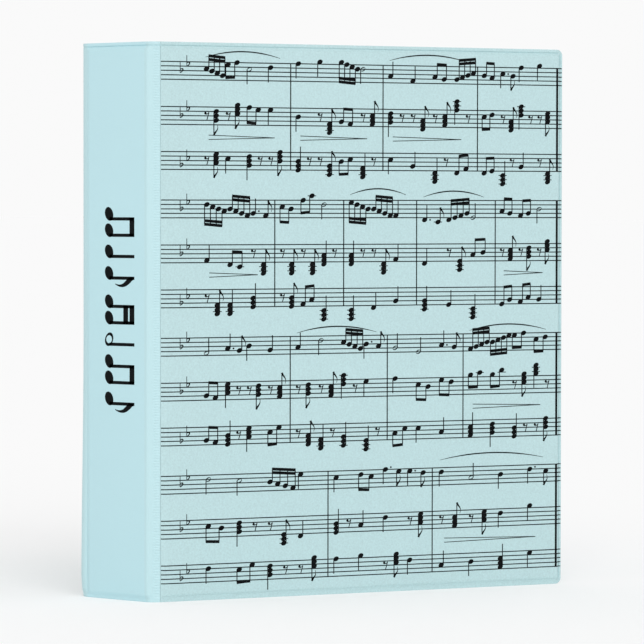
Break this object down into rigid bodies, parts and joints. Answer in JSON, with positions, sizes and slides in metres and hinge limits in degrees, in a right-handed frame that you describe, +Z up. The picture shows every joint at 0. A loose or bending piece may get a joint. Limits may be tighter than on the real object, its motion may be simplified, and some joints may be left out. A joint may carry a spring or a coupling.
{
  "type": "mini binder",
  "caption": "Small three-ring binder with boards welded into flexible vinyl, hinged covers, inside pockets and a ring mechanism with end levers.",
  "frame": {"origin": "on the floor plane, under the middle of the binder's bounding box as it stands slightly ajar", "axes": "+Z up along the spine, -Y out of the spine's outer face, +X towards the front cover's side"},
  "size_m": [0.2012, 0.1774, 0.232],
  "materials": {
    "outer_vinyl": "plain pale aqua vinyl, satin",
    "printed_vinyl": "pale aqua vinyl with a fine canvas emboss and black print",
    "hinge_vinyl": "fused vinyl with a ribbed weld bar",
    "lining_vinyl": "plain pale aqua vinyl, satin",
    "pocket_vinyl": "plain pale aqua vinyl sheet",
    "board": "grey-brown chipboard",
    "plated_steel": "bright nickel plate",
    "ring_wire": "bright nickel plated wire"
  },
  "bodies": {
    "spine": {"spine_skin": "outer_vinyl", "spine_board": "board", "spine_liner": "lining_vinyl", "front_hinge_strip": "hinge_vinyl", "rear_hinge_strip": "hinge_vinyl", "ring_housing": "plated_steel", "upper_rivet": "plated_steel", "lower_rivet": "plated_steel", "upper_lever_pin": "plated_steel", "lower_lever_pin": "plated_steel"},
    "front_cover": {"front_skin": "printed_vinyl", "front_board": "board", "front_liner": "lining_vinyl", "front_pocket": "pocket_vinyl"},
    "back_cover": {"back_skin": "printed_vinyl", "back_board": "board", "back_liner": "lining_vinyl", "back_pocket": "pocket_vinyl"},
    "front_ring_plate": {"front_hinge_plate": "plated_steel", "front_half_ring_lower": "ring_wire", "front_half_ring_middle": "ring_wire", "front_half_ring_upper": "ring_wire"},
    "rear_ring_plate": {"rear_hinge_plate": "plated_steel", "rear_half_ring_lower": "ring_wire", "rear_half_ring_middle": "ring_wire", "rear_half_ring_upper": "ring_wire"},
    "upper_lever": {"upper_lever": "plated_steel"},
    "lower_lever": {"lower_lever": "plated_steel"}
  },
  "joints": [
    {"name": "front_cover_hinge", "type": "hinge", "parent": "spine", "child": "front_cover", "pos_m": [0.01925, -0.08641, 0], "axis": [0, 0, -1], "range_deg": [-24.6, 65.4], "deforming": ["front_hinge_strip"]},
    {"name": "back_cover_hinge", "type": "hinge", "parent": "spine", "child": "back_cover", "pos_m": [-0.01925, -0.08641, 0], "axis": [0, 0, 1], "range_deg": [-24.6, 65.4], "deforming": ["rear_hinge_strip"]},
    {"name": "front_ring_opening", "type": "hinge", "parent": "spine", "child": "front_ring_plate", "pos_m": [0.0096, -0.08427, 0.116], "axis": [0, 0, -1], "range_deg": [0, 11]},
    {"name": "rear_ring_opening", "type": "hinge", "parent": "spine", "child": "rear_ring_plate", "pos_m": [-0.0096, -0.08427, 0.116], "axis": [0, 0, 1], "range_deg": [0, 11.1]},
    {"name": "upper_lever_press", "type": "hinge", "parent": "spine", "child": "upper_lever", "pos_m": [0, -0.08327, 0.213], "axis": [1, 0, 0], "range_deg": [0, 20.1]},
    {"name": "lower_lever_press", "type": "hinge", "parent": "spine", "child": "lower_lever", "pos_m": [0, -0.08327, 0.019], "axis": [-1, 0, 0], "range_deg": [0, 20.1]}
  ],
  "couplings": [
    {"joint": "rear_ring_opening", "follows": "front_ring_opening", "ratio": 1},
    {"joint": "upper_lever_press", "follows": "front_ring_opening", "ratio": 1.8181},
    {"joint": "lower_lever_press", "follows": "front_ring_opening", "ratio": 1.8181}
  ]
}
